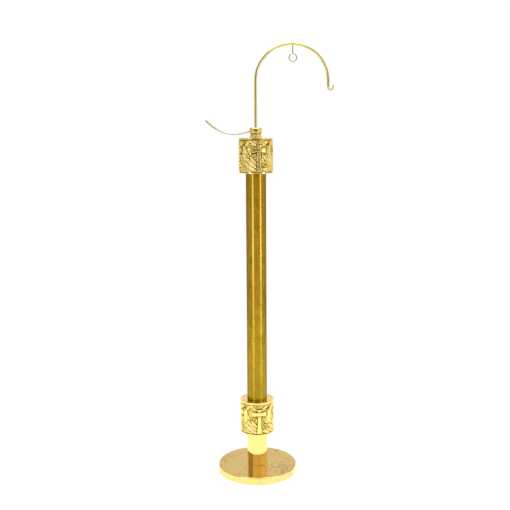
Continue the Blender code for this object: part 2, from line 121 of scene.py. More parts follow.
def turn(name, profile, segs=128, support=0.25, sharp=32.0):
    """Turn a closed (r, z) outline round Z. Long straight runs get support rings, so that the shading of flats and
    cylinders isn't bent by their rounded edges."""
    pts = []
    n = len(profile)
    for i in range(n):
        a, b = np.array(profile[i], float), np.array(profile[(i + 1) % n], float)
        pts.append(tuple(a))
        d = np.linalg.norm(b - a)
        if support and d > 4 * support:
            e = (b - a) / d * support
            pts.append(tuple(a + e))
            pts.append(tuple(b - e))
    ang = np.arange(segs) * 2 * math.pi / segs
    ca, sa = np.cos(ang), np.sin(ang)
    verts, rings = [], []
    for r, z in pts:
        if r < 1e-6:
            rings.append(("pole", len(verts)))
            verts.append((0.0, 0.0, z))
        else:
            rings.append(("ring", len(verts)))
            verts.extend(zip((r * ca).tolist(), (r * sa).tolist(), [z] * segs))
    faces = []
    for i in range(len(rings)):
        (ka, a), (kb, b) = rings[i], rings[(i + 1) % len(rings)]
        if ka == "pole" and kb == "pole":
            continue
        for k in range(segs):
            j = (k + 1) % segs
            if ka == "pole":
                faces.append((a, b + k, b + j))
            elif kb == "pole":
                faces.append((a + k, a + j, b))
            else:
                faces.append((a + k, a + j, b + j, b + k))
    return new_object(name, verts, faces, sharp)


def smooth_path(ctrl, per_span):
    pts = []
    n = len(ctrl)
    for i in range(n - 1):
        p0, p1, p2, p3 = ctrl[max(i - 1, 0)], ctrl[i], ctrl[i + 1], ctrl[min(i + 2, n - 1)]
        for s in range(per_span):
            t = s / per_span
            pts.append(tuple(0.5 * ((2 * b) + (c - a) * t + (2 * a - 5 * b + 4 * c - d) * t * t
                                    + (3 * b - a - 3 * c + d) * t ** 3) for a, b, c, d in zip(p0, p1, p2, p3)))
    pts.append(tuple(ctrl[-1]))
    return pts


def sweep(name, path, sides=32, sharp=40.0):
    """A round rod along (x, z, radius) points in the XZ plane, closed by its last small rings."""
    p = np.array(path, float)
    n = len(p)
    tang = np.gradient(p[:, :2], axis=0)
    tang /= np.linalg.norm(tang, axis=1)[:, None]
    nor = np.stack([-tang[:, 1], tang[:, 0]], 1)
    ang = np.arange(sides) * 2 * math.pi / sides
    verts = []
    for i in range(n):
        x, z, r = p[i]
        for a in ang:
            off = r * math.cos(a)
            verts.append((x + nor[i, 0] * off, r * math.sin(a), z + nor[i, 1] * off))
    faces = []
    for i in range(n - 1):
        for k in range(sides):
            j = (k + 1) % sides
            faces.append((i * sides + k, i * sides + j, (i + 1) * sides + j, (i + 1) * sides + k))
    faces.append(tuple(range(sides)))
    faces.append(tuple((n - 1) * sides + k for k in range(sides)))
    return new_object(name, verts, faces, sharp)


def dome(path, r, length, steps=6):
    """Close a rod's path with a rounded end."""
    (x1, z1, _), (x0, z0, _) = path[-1], path[-2]
    d = math.hypot(x1 - x0, z1 - z0)
    ux, uz = (x1 - x0) / d, (z1 - z0) / d
    out = list(path)
    for i in range(1, steps + 1):
        a = 0.5 * math.pi * i / steps
        out.append((x1 + ux * length * math.sin(a), z1 + uz * length * math.sin(a), max(r * math.cos(a), 0.03 * r)))
    return out


def drilled(obj, radius, centre_mm, depth_mm, axis="Z"):
    """Cut a round hole in a mesh and keep the result as plain mesh data."""
    bm = bmesh.new()
    bmesh.ops.create_cone(bm, cap_ends=True, segments=40, radius1=radius * MM, radius2=radius * MM, depth=depth_mm * MM)
    mesh = bpy.data.meshes.new("cutter")
    bm.to_mesh(mesh)
    bm.free()
    cutter = bpy.data.objects.new("cutter", mesh)
    bpy.context.scene.collection.objects.link(cutter)
    cutter.location = Vector(centre_mm) * MM
    if axis == "X":
        cutter.rotation_euler = (0.0, math.radians(90.0), 0.0)
    mod = obj.modifiers.new("hole", "BOOLEAN")
    mod.operation = "DIFFERENCE"
    mod.solver = "EXACT"
    mod.object = cutter
    bpy.context.view_layer.update()
    done = bpy.data.meshes.new_from_object(obj.evaluated_get(bpy.context.evaluated_depsgraph_get()))
    obj.modifiers.clear()
    obj.data = done
    bpy.data.objects.remove(cutter, do_unlink=True)
    done.shade_smooth()
    done.set_sharp_from_angle(angle=math.radians(40.0))
    return obj


# ------------------------------------------------------------------ relief of the cast collars
def sstep(e0, e1, x):
    t = np.clip((x - e0) / (e1 - e0), 0.0, 1.0)
    return t * t * (3.0 - 2.0 * t)


def wrap(U, cx):
    """U measured in the repeat whose centre is nearest to cx."""
    return (U - cx + PITCH / 2) % PITCH - PITCH / 2 + cx


def lay(H, inside, body, dist, gap=1.0, depth=0.9):
    """Lay a shape over the relief so far, with a sunk line round it."""
    cut = np.exp(-(np.maximum(dist, 0.0) / gap) ** 2)
    return np.where(inside, body, H * (1.0 - depth * cut))


def leaf(H, U, W, a, b, width, height, vein=0.20, taper=0.62, gap=1.0):
    """A pointed leaf from a to b, rounded across, with a sunk midrib and side veins."""
    ax, aw = a
    bx, bw = b
    u = wrap(U, 0.5 * (ax + bx))
    length = math.hypot(bx - ax, bw - aw)
    ux, uw = (bx - ax) / length, (bw - aw) / length
    s = ((u - ax) * ux + (W - aw) * uw) / length
    t = -(u - ax) * uw + (W - aw) * ux
    on = (s > 0) & (s < 1)
    half = np.where(on, np.maximum(4 * s * (1 - s), 0.0) ** taper, 0.0) * width / 2
    over = np.where(s < 0, -s, np.where(s > 1, s - 1, 0.0)) * length
    dist = np.where(on, np.abs(t) - half, np.hypot(over, t))
    q = np.clip(np.abs(t) / np.maximum(half, 1e-3), 0, 1)
    body = height * (0.72 + 0.28 * np.sqrt(np.clip(1.0 - q ** 2.4, 0, 1)))
    body = body - vein * np.exp(-(t / 0.75) ** 2) * sstep(0.02, 0.16, s) * sstep(0.98, 0.8, s)
    body = body - 0.07 * np.sin((s * length + np.abs(t) * 0.9) * 2 * math.pi / 4.6) * sstep(0.1, 0.4, q)
    return lay(H, on & (dist < 0), body, dist, gap)


def bead(H, U, W, c, r, height, gap=0.8):
    d = np.hypot(wrap(U, c[0]) - c[0], W - c[1])
    return lay(H, d < r, height * (0.55 + 0.45 * np.sqrt(np.clip(1.0 - (d / r) ** 2, 0, 1))), d - r, gap)


def curl(H, U, W, c, r, width, a0, a1, height, gap=0.9):
    """A rounded scroll: part of a ring, growing tighter and thinner towards its end."""
    u = wrap(U, c[0]) - c[0]
    w = W - c[1]
    ang = (np.degrees(np.arctan2(w, u)) - a0) % 360.0
    span = (a1 - a0) % 360.0
    t = np.clip(ang / span, 0, 1)
    rad = r * (1.0 - 0.5 * t)
    wid = width * (1.0 - 0.35 * t)
    d = np.abs(np.hypot(u, w) - rad) - wid / 2
    on = (ang < span) & (d < 0)
    q = np.clip(1 + d / (wid / 2), 0, 1)
    body = height * (0.6 + 0.4 * np.sqrt(np.clip(1 - q ** 2.2, 0, 1)))
    return lay(H, on, body, np.where(ang < span, d, 9.0), gap)


def relief_field(U, W, half):
    """Height 0..1 of the relief: each repeat is centred on a cross among leaves and scrolls."""
    H = 0.34 + 0.05 * np.sin(U * 1.9 + W * 0.7) * np.sin(W * 1.6)
    # lying leaf at the foot, and the long falling leaf to the right of the shaft
    H = leaf(H, U, W, (9.0, -38.0), (54.0, -42.5), 14.0, 0.80)
    H = leaf(H, U, W, (9.0, 2.0), (55.0, -27.0), 14.0, 0.88)
    H = leaf(H, U, W, (30.0, -23.5), (52.0, -36.0), 9.0, 0.78)
    # fan of long leaves to the left of the cross's foot
    H = leaf(H, U, W, (-56.0, -31.5), (-22.0, -47.0), 11.0, 0.74)
    H = leaf(H, U, W, (-54.0, -17.0), (-8.0, -45.0), 13.0, 0.82)
    H = leaf(H, U, W, (-40.0, -7.0), (-8.0, -35.5), 12.0, 0.92)
    H = leaf(H, U, W, (-28.0, -3.0), (-7.5, -26.0), 10.0, 0.86)
    # upright leaf between the crosses, with two opening above it and a deep hollow behind them
    hollow = np.exp(-((wrap(U, 37.0) - 37.0) / 8.5) ** 4 - ((W - 31.0) / 4.6) ** 4)
    H = H * (1.0 - 0.85 * hollow)
    H = leaf(H, U, W, (36.0, 24.0), (52.0, 44.0), 10.0, 0.80)
    H = leaf(H, U, W, (32.0, 24.0), (19.0, 44.5), 9.5, 0.80)
    H = leaf(H, U, W, (34.5, -15.0), (34.5, 29.0), 17.0, 0.95)
    H = leaf(H, U, W, (27.5, 11.0), (24.0, -7.0), 6.5, 0.70)
    H = leaf(H, U, W, (-39.5, 12.0), (-31.0, -9.0), 6.5, 0.70)
    pocket = np.exp(-((wrap(U, 29.0) - 29.0) / 7.0) ** 4 - ((W - 32.0 - 0.25 * (wrap(U, 29.0) - 29.0)) / 3.8) ** 4)
    H = H * (1.0 - 0.95 * pocket)
    # scroll with berries, right of the shaft's foot
    H = curl(H, U, W, (20.5, -22.0), 9.5, 5.2, 190.0, 505.0, 0.84)
    for c in ((20.0, -21.0), (25.5, -18.5), (15.5, -29.0), (29.5, -30.5), (23.5, -31.5)):
        H = bead(H, U, W, c, 2.7, 0.80)
    # curls left of the shaft and small leaves beside the head of the cross
    H = curl(H, U, W, (-15.5, -1.5), 6.8, 4.6, -70.0, 240.0, 0.80)
    H = bead(H, U, W, (-15.5, -1.5), 2.4, 0.74)
    H = curl(H, U, W, (14.0, -1.0), 5.2, 3.8, 60.0, 330.0, 0.74)
    H = leaf(H, U, W, (-8.5, 28.0), (-30.0, 43.0), 10.5, 0.78)
    H = leaf(H, U, W, (-7.0, 36.0), (-20.0, 45.5), 6.0, 0.72)
    H = leaf(H, U, W, (8.5, 27.0), (26.0, 41.0), 9.5, 0.78)
    H = bead(H, U, W, (-26.0, 31.5), 3.0, 0.7)
    # the cross: bevelled bar and shaft, flared at their ends, with deep ground under its arms; through the relief
    # height this ground also paints shadow under the arms in the casting's colour
    u = wrap(U, 0.0)
    under = np.exp(-((W - (BAR_W - 8.6)) / 3.0) ** 2 - ((np.abs(u) - 14.5) / 8.5) ** 4)
    H = H * (1.0 - 0.9 * under)
    arm_half = 5.6 + 1.8 * np.clip((np.abs(u) - 9.0) / 14.0, 0, 1) ** 1.5
    bar_d = np.maximum(np.abs(W - BAR_W) - arm_half, np.abs(u) - 22.5)
    foot = 5.4 + 2.8 * np.clip((-W - 12.0) / 32.0, 0, 1) ** 1.4 + 2.6 * np.clip((W - BAR_W - 8.0) / 9.0, 0, 1) ** 1.4
    shaft_d = np.maximum(np.abs(u) - foot, np.maximum(W - (BAR_W + 16.0), -W - (half - 5.0)))
    head = sstep(BAR_W + 4.0, BAR_W + 8.0, W)
    body = 0.80 + (0.18 - 0.10 * head) * sstep(-0.2, -2.2, shaft_d) - 0.05 * np.exp(-(u / 1.2) ** 2)
    H = lay(H, shaft_d < 0, body, shaft_d, 1.3, 0.95)
    body = 0.84 + 0.16 * sstep(-0.1, -1.4, bar_d)
    H = lay(H, bar_d < 0, body, bar_d, 1.3, 0.95)
    # plain bands at the ends
    top_d = (half - 5.6) - W
    low_d = (half - 3.2) + W
    H = lay(H, top_d < 0, 0.94, top_d, 0.9, 0.8)
    H = lay(H, low_d < 0, 0.90, low_d, 0.9, 0.8)
    return H


PITCH = 2 * math.pi * COLLAR_R / 4
BAR_W = 15.5                        # height of the cross's bar above the collar's middle


def collar(name, z0, z1, azimuth, seed):
    """A cast ring: fine relief outside, plain bands at its ends, rebates inside for the discs."""
    segs, rows = 480, 150
    half = 0.5 * (z1 - z0)
    theta = np.arange(segs) * 2 * math.pi / segs
    w = np.linspace(-half + 0.9, half - 0.9, rows)
    front = -math.pi / 2 + math.radians(azimuth)
    local = (theta - front + math.pi / 4) % (math.pi / 2) - math.pi / 4
    U, W = np.meshgrid(local * COLLAR_R, w)
    H = relief_field(U, W, half)
    band = np.maximum(sstep(half - 6.2, half - 4.8, W), sstep(half - 3.4, half - 2.2, -W))
    # hand-chased unevenness of the casting
    th = np.repeat(theta[None, :], rows, 0)
    ww = np.repeat(w[:, None], segs, 1)
    rng = np.random.default_rng(seed)
    bumps = np.zeros_like(H)
    for k in range(26):
        m, f = rng.integers(3, 44), rng.uniform(0.05, 0.75)
        bumps += np.sin(m * th + rng.uniform(0, 6.28)) * np.sin(f * ww + rng.uniform(0, 6.28)) / 26 ** 0.5
    field = sstep(0.45, 0.25, H)
    R = COLLAR_FIELD + (COLLAR_R - COLLAR_FIELD) * np.clip(H, 0, 1) + bumps * (0.07 * (1 - band) + 0.16 * field)
    R = np.minimum(R, COLLAR_R)
    ct, st = np.cos(theta), np.sin(theta)
    verts, relief_and_shade = [], []
    mid = 0.5 * (z0 + z1)
    outline = [(DISC_R + GAP, z0 + 0.3), (DISC_R + GAP + 0.3, z0), (COLLAR_R - 1.1, z0), (COLLAR_R - 0.55, z0 + 0.2)]
    inner = [(COLLAR_R - 0.55, z1 - 0.2), (COLLAR_R - 1.1, z1), (DISC_R + GAP + 0.3, z1), (DISC_R + GAP, z1 - 0.3),
             (DISC_R + GAP, z1 - DISC_T - GAP), (COLLAR_IN, z1 - DISC_T - GAP), (COLLAR_IN, z0 + DISC_T + GAP),
             (DISC_R + GAP, z0 + DISC_T + GAP)]
    rings = 0
    for r, z in outline:
        verts.append(np.stack([r * ct, r * st, np.full(segs, z)], 1))
        relief_and_shade.append(np.ones(segs))
        rings += 1
    for i in range(rows):
        verts.append(np.stack([R[i] * ct, R[i] * st, np.full(segs, mid + w[i])], 1))
        relief_and_shade.append(np.clip(H[i], 0, 1))
        rings += 1
    for r, z in inner:
        verts.append(np.stack([r * ct, r * st, np.full(segs, z)], 1))
        relief_and_shade.append(np.ones(segs))
        rings += 1
    verts = np.concatenate(verts)
    faces = []
    for i in range(rings):
        a, b = i * segs, ((i + 1) % rings) * segs
        for k in range(segs):
            j = (k + 1) % segs
            faces.append((a + k, a + j, b + j, b + k))
    obj = new_object(name, verts, faces, 62.0)
    # the relief height per point also drives painted shade: the casting's colour is darker in the hollows
    att = obj.data.attributes.new("relief", "FLOAT", "POINT")
    att.data.foreach_set("value", np.concatenate(relief_and_shade).astype(np.float32))
    return obj


# ------------------------------------------------------------------ materials
def node_material(name):
    mat = bpy.data.materials.new(name)
    mat.use_nodes = True
    nt = mat.node_tree
    bsdf = nt.nodes.get("Principled BSDF")
    return mat, nt, bsdf


def add(nt, kind, **props):
    n = nt.nodes.new(kind)
    for k, v in props.items():
        setattr(n, k, v)
    return n


def noise(nt, coord, scale, detail=4.0, rough=0.55, stretch=None, distortion=0.0):
    n = add(nt, "ShaderNodeTexNoise")
    n.inputs["Scale"].default_value = scale
    n.inputs["Detail"].default_value = detail
    n.inputs["Roughness"].default_value = rough
    n.inputs["Distortion"].default_value = distortion
    if stretch:
        m = add(nt, "ShaderNodeMapping")
        m.inputs["Scale"].default_value = stretch
        nt.links.new(coord, m.inputs["Vector"])
        nt.links.new(m.outputs["Vector"], n.inputs["Vector"])
    else:
        nt.links.new(coord, n.inputs["Vector"])
    return n.outputs["Fac"]


def ramp(nt, fac, stops):
    n = add(nt, "ShaderNodeValToRGB")
    el = n.color_ramp.elements
    while len(el) < len(stops):
        el.new(0.5)
    for e, (p, c) in zip(el, stops):
        e.position = p
        e.color = (c[0], c[1], c[2], 1.0) if hasattr(c, "__len__") else (c, c, c, 1.0)
    nt.links.new(fac, n.inputs["Fac"])
    return n.outputs["Color"]


def maprange(nt, value, a, b, c, d, smooth=True):
    n = add(nt, "ShaderNodeMapRange")
    n.interpolation_type = "SMOOTHSTEP" if smooth else "LINEAR"
    for i, v in zip(("From Min", "From Max", "To Min", "To Max"), (a, b, c, d)):
        n.inputs[i].default_value = v
    nt.links.new(value, n.inputs["Value"])
    return n.outputs["Result"]


def math_node(nt, op, a, b=None):
    n = add(nt, "ShaderNodeMath", operation=op)
    for i, v in enumerate((a, b)):
        if v is None:
            continue
        if isinstance(v, (int, float)):
            n.inputs[i].default_value = v
        else:
            nt.links.new(v, n.inputs[i])
    return n.outputs[0]


def mix_colour(nt, fac, a, b, blend="MIX"):
    n = add(nt, "ShaderNodeMix", data_type="RGBA", blend_type=blend)
    for sock, v in ((n.inputs[0], fac), (n.inputs[6], a), (n.inputs[7], b)):
        if hasattr(v, "links") or isinstance(v, bpy.types.NodeSocket):
            nt.links.new(v, sock)
        elif hasattr(v, "__len__"):
            sock.default_value = (v[0], v[1], v[2], 1.0)
        else:
            sock.default_value = v
    return n.outputs[2]


def bump(nt, bsdf, heights):
    """Chain of bumps: (height, strength, distance in metres)."""
    last = None
    for h, strength, dist in heights:
        b = add(nt, "ShaderNodeBump")
        b.inputs["Strength"].default_value = strength
        b.inputs["Distance"].default_value = dist
        nt.links.new(h, b.inputs["Height"])
        if last is not None:
            nt.links.new(last, b.inputs["Normal"])
        last = b.outputs["Normal"]
    nt.links.new(last, bsdf.inputs["Normal"])


def position(nt):
    return add(nt, "ShaderNodeNewGeometry").outputs["Position"]


def object_coords(nt):
    return add(nt, "ShaderNodeTexCoord").outputs["Object"]


def polished_gold(name, tint=(1.0, 0.695, 0.24), rough=0.05, smudge=0.10, edge=(1.0, 0.98, 0.90), worn=0.0):
    """Mirror-polished gold plate: faint buffing waves, fine hairlines, finger smudges and a few specks. `worn` adds
    curling wipe marks and dark spots."""
    mat, nt, bsdf = node_material(name)
    pos = object_coords(nt)
    cloud = noise(nt, pos, 22.0, 5.0, 0.6)
    smear = noise(nt, pos, 75.0, 4.0, 0.65, (1.0, 2.4, 1.0), 0.6)
    fine = noise(nt, pos, 900.0, 2.0, 0.6)
    tone = ramp(nt, cloud, ((0.30, tuple(0.93 * c for c in tint)), (0.68, tint)))
    spot = maprange(nt, noise(nt, pos, 260.0, 2.0, 0.5), 0.68, 0.74, 0.0, 1.0)
    tone = mix_colour(nt, math_node(nt, "MULTIPLY", spot, 0.35), tone, (0.52, 0.34, 0.09))
    r = math_node(nt, "ADD", maprange(nt, smear, 0.52, 0.78, rough, rough + smudge),
                  maprange(nt, fine, 0.55, 0.8, 0.0, 0.02))
    if worn:
        swirl = noise(nt, pos, 24.0, 2.0, 0.5, (1.0, 0.75, 1.0), 2.6)
        line = maprange(nt, math_node(nt, "ABSOLUTE", math_node(nt, "SUBTRACT", swirl, 0.52)), 0.010, 0.055, 1.0, 0.0)
        where = maprange(nt, noise(nt, pos, 19.0, 2.0, 0.5), 0.50, 0.60, 0.0, 1.0)
        marks = math_node(nt, "MULTIPLY", line, where)
        dots = maprange(nt, noise(nt, pos, 85.0, 2.5, 0.6, (1.0, 0.6, 1.0)), 0.63, 0.70, 0.0, 1.0)
        dirt = math_node(nt, "MAXIMUM", math_node(nt, "MULTIPLY", marks, 0.75 * worn), math_node(nt, "MULTIPLY", dots, worn))
        film = maprange(nt, noise(nt, pos, 11.0, 3.0, 0.6, None, 0.5), 0.42, 0.62, 0.0, 0.22)
        tone = mix_colour(nt, film, tone, (0.90, 0.58, 0.28))
        tone = mix_colour(nt, dirt, tone, (0.36, 0.25, 0.07))
        r = math_node(nt, "ADD", r, math_node(nt, "MULTIPLY", dirt, 0.10))
    nt.links.new(tone, bsdf.inputs["Base Color"])
    nt.links.new(r, bsdf.inputs["Roughness"])
    bsdf.inputs["Metallic"].default_value = 1.0
    bsdf.inputs["Specular Tint"].default_value = (edge[0], edge[1], edge[2], 1.0)
    bump(nt, bsdf, ((cloud, 0.10, 0.0006), (fine, 0.04, 0.00004)))
    return mat


def cast_gold(name):
    """Gold-plated casting: bright on the heights, darker and rougher in the hollows, with a grained ground; the darker
    colour in the hollows is painted shade that follows the relief height.
    """
    mat, nt, bsdf = node_material(name)
    pos = object_coords(nt)
    att = add(nt, "ShaderNodeAttribute", attribute_name="relief")
    height = att.outputs["Fac"]
    grain = noise(nt, pos, 620.0, 3.0, 0.6)
    cloud = noise(nt, pos, 60.0, 4.0, 0.6)
    edge = math_node(nt, "ADD", height, maprange(nt, cloud, 0.3, 0.7, -0.12, 0.12))
    # painted shade: the colour ramp runs dark in the hollows and bright on the heights of the relief
    tone = ramp(nt, edge, ((0.05, (0.24, 0.175, 0.010)), (0.32, (0.57, 0.43, 0.06)), (0.60, (0.88, 0.665, 0.19)),
                           (0.92, (0.95, 0.73, 0.24))))
    nt.links.new(tone, bsdf.inputs["Base Color"])
    nt.links.new(maprange(nt, edge, 0.0, 0.75, 0.36, 0.15), bsdf.inputs["Roughness"])
    bsdf.inputs["Metallic"].default_value = 1.0
    hollow = maprange(nt, height, 0.0, 0.5, 1.0, 0.12)
    bump(nt, bsdf, ((math_node(nt, "MULTIPLY", grain, hollow), 0.5, 0.00035), (cloud, 0.15, 0.0005)))
    return mat


def column_brass(name):
    """Satin brass under a thin old lacquer, darkened in clouds; polished round the tube, so highlights stretch along it."""
    mat, nt, bsdf = node_material(name)
    pos = object_coords(nt)
    big = noise(nt, pos, 9.0, 3.0, 0.5, (1.0, 1.0, 0.55), 0.3)
    mott = noise(nt, pos, 46.0, 5.0, 0.62, (1.0, 1.0, 0.55), 0.8)
    fine = noise(nt, pos, 190.0, 4.0, 0.6, (1.0, 1.0, 0.4))
    z = add(nt, "ShaderNodeSeparateXYZ")
    nt.links.new(pos, z.inputs[0])
    # painted reflection: the tube's colour runs from brown at the top to olive lower down, standing in for the bright
    # floor that the lower tube reflects
    low = maprange(nt, z.outputs["Z"], 0.25, 0.80, 1.0, 0.0)
    a = math_node(nt, "ADD", math_node(nt, "MULTIPLY", mott, 0.55), math_node(nt, "MULTIPLY", big, 0.45))
    brown = ramp(nt, a, ((0.38, (0.330, 0.180, 0.006)), (0.50, (0.425, 0.245, 0.007)), (0.62, (0.480, 0.300, 0.016))))
    olive = ramp(nt, a, ((0.38, (0.260, 0.165, 0.004)), (0.50, (0.385, 0.243, 0.006)), (0.62, (0.475, 0.322, 0.012))))
    tone = mix_colour(nt, low, brown, olive)
    # painted light: the tube's colour is lightened towards its foot, where it reflects the bright floor
    tone = mix_colour(nt, maprange(nt, z.outputs["Z"], 0.26, 0.44, 0.26, 0.0), tone, (0.56, 0.375, 0.014))
    tone = mix_colour(nt, maprange(nt, fine, 0.5, 0.75, 0.0, 0.22), tone, (0.17, 0.10, 0.01))
    nt.links.new(tone, bsdf.inputs["Base Color"])
    nt.links.new(maprange(nt, mott, 0.35, 0.7, 0.22, 0.30), bsdf.inputs["Roughness"])
    bsdf.inputs["Metallic"].default_value = 1.0
    bsdf.inputs["Specular Tint"].default_value = (0.30, 0.26, 0.20, 1.0)
    bsdf.inputs["Anisotropic"].default_value = 0.85
    bsdf.inputs["Anisotropic Rotation"].default_value = 0.25
    bsdf.inputs["Coat Weight"].default_value = 0.22
    bsdf.inputs["Coat Roughness"].default_value = 0.07
    tan = add(nt, "ShaderNodeTangent", direction_type="RADIAL", axis="Z")
    nt.links.new(tan.outputs["Tangent"], bsdf.inputs["Tangent"])
    bump(nt, bsdf, ((fine, 0.06, 0.00012), (mott, 0.05, 0.0004)))
    return mat


def rod_brass(name, dark=(0.66, 0.56, 0.175), light=(0.80, 0.69, 0.250), rough=0.16, tip=None):
    """Drawn brass rod: lengthwise-drawn, a little dulled, with brighter rubbed patches."""
    mat, nt, bsdf = node_material(name)
    pos = object_coords(nt)
    cloud = noise(nt, pos, 38.0, 5.0, 0.6)
    fine = noise(nt, pos, 420.0, 3.0, 0.6)
    tone = ramp(nt, cloud, ((0.34, dark), (0.64, light)))
    if tip:
        sep = add(nt, "ShaderNodeSeparateXYZ")
        nt.links.new(pos, sep.inputs[0])
        tone = mix_colour(nt, maprange(nt, sep.outputs["X"], tip[0], tip[1], 1.0, 0.0), tone, tip[2])
    nt.links.new(tone, bsdf.inputs["Base Color"])
    nt.links.new(math_node(nt, "ADD", maprange(nt, cloud, 0.35, 0.7, rough + 0.08, rough),
                           maprange(nt, fine, 0.5, 0.8, 0.0, 0.05)), bsdf.inputs["Roughness"])
    bsdf.inputs["Metallic"].default_value = 1.0
    bump(nt, bsdf, ((fine, 0.012, 0.00003), (cloud, 0.015, 0.0002)))
    return mat


def metal(name, dark, light, rough, scale=120.0, rings=False):
    """Machined or plated metal that sits inside the stand."""
    mat, nt, bsdf = node_material(name)
    pos = object_coords(nt)
    cloud = noise(nt, pos, scale, 4.0, 0.6)
    fine = noise(nt, pos, scale * 7, 2.0, 0.6, (1.0, 1.0, 6.0) if rings else None)
    nt.links.new(ramp(nt, cloud, ((0.3, dark), (0.7, light))), bsdf.inputs["Base Color"])
    nt.links.new(maprange(nt, cloud, 0.3, 0.7, rough + 0.1, rough - 0.05), bsdf.inputs["Roughness"])
    bsdf.inputs["Metallic"].default_value = 1.0
    bump(nt, bsdf, ((fine, 0.25, 0.0001),))
    return mat


def threaded_steel(name):
    """Zinc-plated rod with the thread drawn as a fine helix in the bump."""
    mat, nt, bsdf = node_material(name)
    pos = object_coords(nt)
    cloud = noise(nt, pos, 90.0, 4.0, 0.6)
    nt.links.new(ramp(nt, cloud, ((0.3, (0.40, 0.41, 0.43)), (0.7, (0.66, 0.67, 0.68)))), bsdf.inputs["Base Color"])
    nt.links.new(maprange(nt, cloud, 0.3, 0.7, 0.42, 0.28), bsdf.inputs["Roughness"])
    bsdf.inputs["Metallic"].default_value = 1.0
    sep = add(nt, "ShaderNodeSeparateXYZ")
    nt.links.new(pos, sep.inputs[0])
    turn_angle = math_node(nt, "ARCTAN2", sep.outputs["Y"], sep.outputs["X"])
    phase = math_node(nt, "ADD", math_node(nt, "MULTIPLY", sep.outputs["Z"], 2 * math.pi / 0.0015), turn_angle)
    wave = math_node(nt, "SINE", phase)
    bump(nt, bsdf, ((wave, 0.8, 0.0004),))
    return mat


def soft_solid(name, dark, light, rough, scale, depth, fuzz=0.0):
    mat, nt, bsdf = node_material(name)
    pos = object_coords(nt)
    cloud = noise(nt, pos, scale, 6.0, 0.7)
    fibre = noise(nt, pos, scale * 6, 4.0, 0.7, None, 1.2)
    both = math_node(nt, "ADD", math_node(nt, "MULTIPLY", cloud, 0.5), math_node(nt, "MULTIPLY", fibre, 0.5))
    nt.links.new(ramp(nt, both, ((0.36, dark), (0.62, light))), bsdf.inputs["Base Color"])
    bsdf.inputs["Roughness"].default_value = rough
    bsdf.inputs["Sheen Weight"].default_value = fuzz
    bump(nt, bsdf, ((fibre, 0.6, depth),))
    return mat


GOLD = polished_gold("gold_plate")
GOLD_TOP = polished_gold("gold_plate_disc", rough=0.045, smudge=0.12, worn=0.72)
GOLD_BOSS = polished_gold("gold_plate_boss", tint=(0.84, 0.685, 0.225), rough=0.11)
GOLD_NECK = polished_gold("gold_plate_neck", tint=(1.0, 0.73, 0.245), smudge=0.05)
CAST = cast_gold("gold_casting")
COLUMN = column_brass("column_brass")
ROD = rod_brass("rod_brass")
ARM = rod_brass("arm_brass", (0.58, 0.58, 0.40), (0.68, 0.68, 0.48), 0.22, (-0.122, -0.088, (0.46, 0.47, 0.15)))
HOOK = rod_brass("hook_brass", (0.44, 0.37, 0.14), (0.62, 0.53, 0.23), 0.14)
TURNED = metal("turned_brass", (0.52, 0.36, 0.10), (0.72, 0.54, 0.20), 0.30, rings=True)
STEEL = metal("zinc_steel", (0.42, 0.43, 0.45), (0.64, 0.65, 0.66), 0.36)
THREAD = threaded_steel("threaded_steel")
IRON = metal("black_iron", (0.03, 0.03, 0.033), (0.085, 0.083, 0.08), 0.62, 70.0)
FELT = soft_solid("green_felt", (0.012, 0.050, 0.028), (0.035, 0.120, 0.070), 0.96, 260.0, 0.0006, 0.4)
FIBRE = soft_solid("red_fibre", (0.20, 0.035, 0.02), (0.36, 0.09, 0.05), 0.65, 300.0, 0.0001)
NYLON = soft_solid("natural_nylon", (0.72, 0.70, 0.63), (0.84, 0.82, 0.76), 0.42, 200.0, 0.00005)

# ------------------------------------------------------------------ pieces
# base shell: flat mirror top, rounded upper edge, rim a little eased at its foot
shell = [(12.3, BASE_TOP)]
shell += fillet(BASE_R - 3.2, BASE_TOP - 3.2, 3.2, 90.0, 0.0, 12)
shell += fillet(BASE_R - 2.0, RIM_FOOT + 2.0, 2.0, 0.0, -90.0, 8)
shell += [(BASE_IN + 0.2, RIM_FOOT), (BASE_IN, RIM_FOOT + 0.2), (BASE_IN, BASE_TOP - 3.2), (12.3, BASE_TOP - 3.2)]
attach(turn("base_disc", shell, 256), "stand", ["base_shell"], GOLD_TOP)

felt = rounded([(0.0, 0.0), (115.5, 0.0), (115.5, 1.9), (0.0, 1.9)], (0, 0.5, 0.5, 0), 3)
attach(turn("felt_pad", felt, 160), "stand", ["base_felt"], FELT)

neck = rounded([(NECK_IN, NECK_Z0), (NECK_R, NECK_Z0), (NECK_R, NECK_Z1), (NECK_IN, NECK_Z1)], (0.2, 0.5, 0.5, 0.2), 4)
attach(turn("neck", neck, 160), "stand", ["neck_tube"], GOLD_NECK)

for tag, z0, z1, az, lo_hole, hi_hole, seed in (("lower", LOWER_Z0, LOWER_Z1, LOWER_AZ, 12.3, 10.3, 11),
                                                ("upper", UPPER_Z0, UPPER_Z1, UPPER_AZ, 10.3, 11.3, 23)):
    attach(collar(tag + "_casting", z0, z1, az, seed), "stand", [tag + "_collar"], CAST)
    for end, a, b, hole in (("bottom", z0, z0 + DISC_T, lo_hole), ("top", z1 - DISC_T, z1, hi_hole)):
        disc = rounded([(hole, a), (DISC_R, a), (DISC_R, b), (hole, b)], (0.2, 0.3, 0.3, 0.2), 3)
        attach(turn(f"{tag}_{end}_plate", disc, 128), "stand", [f"{tag}_collar_{end}_disc"], GOLD)

tube = rounded([(COL_IN, COL_Z0), (COL_R, COL_Z0), (COL_R, COL_Z1), (COL_IN, COL_Z1)], (0.1, 0.4, 0.4, 0.1), 3)
attach(turn("column", tube, 192), "stand", ["column_tube"], COLUMN)

